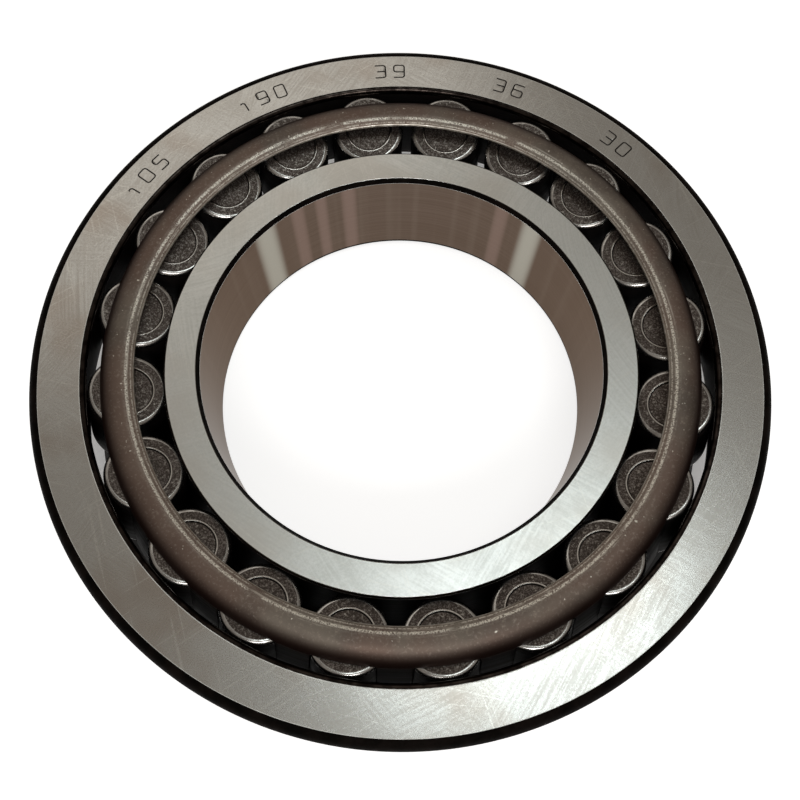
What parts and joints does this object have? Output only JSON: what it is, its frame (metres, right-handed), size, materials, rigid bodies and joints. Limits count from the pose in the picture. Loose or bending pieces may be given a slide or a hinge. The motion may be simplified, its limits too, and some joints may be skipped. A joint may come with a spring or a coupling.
{
  "type": "tapered roller bearing",
  "caption": "Single-row tapered roller bearing: outer ring, inner ring with guide rib, pressed steel cage and a full row of tapered rollers that roll when the inner ring turns.",
  "frame": {"origin": "centre of the inner ring's back face, which is the lowest face", "axes": "+Z along the bearing's axis, from the rollers' large ends to their small ends; X and Y across it"},
  "size_m": [0.19, 0.19, 0.041],
  "materials": {
    "ring_steel": "ground bearing steel faces and raceways, dark unground corners",
    "cage_steel": "satin grey-brown pressed steel with scuffed edges",
    "roller_steel": "polished tapered surface, dull granular ends"
  },
  "bodies": {
    "outer_ring": {"outer_ring": "ring_steel"},
    "inner_ring": {"inner_ring": "ring_steel"},
    "cage": {"cage": "cage_steel"},
    "roller_01": {"roller_01": "roller_steel"},
    "roller_02": {"roller_02": "roller_steel"},
    "roller_03": {"roller_03": "roller_steel"},
    "roller_04": {"roller_04": "roller_steel"},
    "roller_05": {"roller_05": "roller_steel"},
    "roller_06": {"roller_06": "roller_steel"},
    "roller_07": {"roller_07": "roller_steel"},
    "roller_08": {"roller_08": "roller_steel"},
    "roller_09": {"roller_09": "roller_steel"},
    "roller_10": {"roller_10": "roller_steel"},
    "roller_11": {"roller_11": "roller_steel"},
    "roller_12": {"roller_12": "roller_steel"},
    "roller_13": {"roller_13": "roller_steel"},
    "roller_14": {"roller_14": "roller_steel"},
    "roller_15": {"roller_15": "roller_steel"},
    "roller_16": {"roller_16": "roller_steel"},
    "roller_17": {"roller_17": "roller_steel"},
    "roller_18": {"roller_18": "roller_steel"},
    "roller_19": {"roller_19": "roller_steel"},
    "roller_20": {"roller_20": "roller_steel"}
  },
  "joints": [
    {"name": "inner_ring_spin", "type": "hinge", "parent": "outer_ring", "child": "inner_ring", "pos_m": [0, 0, 0.018], "axis": [0, 0, 1], "continuous": true},
    {"name": "cage_spin", "type": "hinge", "parent": "outer_ring", "child": "cage", "pos_m": [0, 0, 0.022], "axis": [0, 0, 1], "continuous": true},
    {"name": "roller_01_spin", "type": "hinge", "parent": "cage", "child": "roller_01", "pos_m": [0.073, 0.01292, 0.02195], "axis": [-0.2419, -0.0428, 0.9694], "continuous": true},
    {"name": "roller_02_spin", "type": "hinge", "parent": "cage", "child": "roller_02", "pos_m": [0.06543, 0.03485, 0.02195], "axis": [-0.2168, -0.1155, 0.9694], "continuous": true},
    {"name": "roller_03_spin", "type": "hinge", "parent": "cage", "child": "roller_03", "pos_m": [0.05146, 0.05336, 0.02195], "axis": [-0.1705, -0.1768, 0.9694], "continuous": true},
    {"name": "roller_04_spin", "type": "hinge", "parent": "cage", "child": "roller_04", "pos_m": [0.03245, 0.06666, 0.02195], "axis": [-0.1075, -0.2209, 0.9694], "continuous": true},
    {"name": "roller_05_spin", "type": "hinge", "parent": "cage", "child": "roller_05", "pos_m": [0.01027, 0.07342, 0.02195], "axis": [-0.034, -0.2433, 0.9694], "continuous": true},
    {"name": "roller_06_spin", "type": "hinge", "parent": "cage", "child": "roller_06", "pos_m": [-0.01292, 0.073, 0.02195], "axis": [0.0428, -0.2419, 0.9694], "continuous": true},
    {"name": "roller_07_spin", "type": "hinge", "parent": "cage", "child": "roller_07", "pos_m": [-0.03485, 0.06543, 0.02195], "axis": [0.1155, -0.2168, 0.9694], "continuous": true},
    {"name": "roller_08_spin", "type": "hinge", "parent": "cage", "child": "roller_08", "pos_m": [-0.05336, 0.05146, 0.02195], "axis": [0.1768, -0.1705, 0.9694], "continuous": true},
    {"name": "roller_09_spin", "type": "hinge", "parent": "cage", "child": "roller_09", "pos_m": [-0.06666, 0.03245, 0.02195], "axis": [0.2209, -0.1075, 0.9694], "continuous": true},
    {"name": "roller_10_spin", "type": "hinge", "parent": "cage", "child": "roller_10", "pos_m": [-0.07342, 0.01027, 0.02195], "axis": [0.2433, -0.034, 0.9694], "continuous": true},
    {"name": "roller_11_spin", "type": "hinge", "parent": "cage", "child": "roller_11", "pos_m": [-0.073, -0.01292, 0.02195], "axis": [0.2419, 0.0428, 0.9694], "continuous": true},
    {"name": "roller_12_spin", "type": "hinge", "parent": "cage", "child": "roller_12", "pos_m": [-0.06543, -0.03485, 0.02195], "axis": [0.2168, 0.1155, 0.9694], "continuous": true},
    {"name": "roller_13_spin", "type": "hinge", "parent": "cage", "child": "roller_13", "pos_m": [-0.05146, -0.05336, 0.02195], "axis": [0.1705, 0.1768, 0.9694], "continuous": true},
    {"name": "roller_14_spin", "type": "hinge", "parent": "cage", "child": "roller_14", "pos_m": [-0.03245, -0.06666, 0.02195], "axis": [0.1075, 0.2209, 0.9694], "continuous": true},
    {"name": "roller_15_spin", "type": "hinge", "parent": "cage", "child": "roller_15", "pos_m": [-0.01027, -0.07342, 0.02195], "axis": [0.034, 0.2433, 0.9694], "continuous": true},
    {"name": "roller_16_spin", "type": "hinge", "parent": "cage", "child": "roller_16", "pos_m": [0.01292, -0.073, 0.02195], "axis": [-0.0428, 0.2419, 0.9694], "continuous": true},
    {"name": "roller_17_spin", "type": "hinge", "parent": "cage", "child": "roller_17", "pos_m": [0.03485, -0.06543, 0.02195], "axis": [-0.1155, 0.2168, 0.9694], "continuous": true},
    {"name": "roller_18_spin", "type": "hinge", "parent": "cage", "child": "roller_18", "pos_m": [0.05336, -0.05146, 0.02195], "axis": [-0.1768, 0.1705, 0.9694], "continuous": true},
    {"name": "roller_19_spin", "type": "hinge", "parent": "cage", "child": "roller_19", "pos_m": [0.06666, -0.03245, 0.02195], "axis": [-0.2209, 0.1075, 0.9694], "continuous": true},
    {"name": "roller_20_spin", "type": "hinge", "parent": "cage", "child": "roller_20", "pos_m": [0.07342, -0.01027, 0.02195], "axis": [-0.2433, 0.034, 0.9694], "continuous": true}
  ],
  "couplings": [
    {"joint": "cage_spin", "follows": "inner_ring_spin", "ratio": 0.43282},
    {"joint": "roller_01_spin", "follows": "inner_ring_spin", "ratio": -3.5423},
    {"joint": "roller_02_spin", "follows": "inner_ring_spin", "ratio": -3.5423},
    {"joint": "roller_03_spin", "follows": "inner_ring_spin", "ratio": -3.5423},
    {"joint": "roller_04_spin", "follows": "inner_ring_spin", "ratio": -3.5423},
    {"joint": "roller_05_spin", "follows": "inner_ring_spin", "ratio": -3.5423},
    {"joint": "roller_06_spin", "follows": "inner_ring_spin", "ratio": -3.5423},
    {"joint": "roller_07_spin", "follows": "inner_ring_spin", "ratio": -3.5423},
    {"joint": "roller_08_spin", "follows": "inner_ring_spin", "ratio": -3.5423},
    {"joint": "roller_09_spin", "follows": "inner_ring_spin", "ratio": -3.5423},
    {"joint": "roller_10_spin", "follows": "inner_ring_spin", "ratio": -3.5423},
    {"joint": "roller_11_spin", "follows": "inner_ring_spin", "ratio": -3.5423},
    {"joint": "roller_12_spin", "follows": "inner_ring_spin", "ratio": -3.5423},
    {"joint": "roller_13_spin", "follows": "inner_ring_spin", "ratio": -3.5423},
    {"joint": "roller_14_spin", "follows": "inner_ring_spin", "ratio": -3.5423},
    {"joint": "roller_15_spin", "follows": "inner_ring_spin", "ratio": -3.5423},
    {"joint": "roller_16_spin", "follows": "inner_ring_spin", "ratio": -3.5423},
    {"joint": "roller_17_spin", "follows": "inner_ring_spin", "ratio": -3.5423},
    {"joint": "roller_18_spin", "follows": "inner_ring_spin", "ratio": -3.5423},
    {"joint": "roller_19_spin", "follows": "inner_ring_spin", "ratio": -3.5423},
    {"joint": "roller_20_spin", "follows": "inner_ring_spin", "ratio": -3.5423}
  ]
}
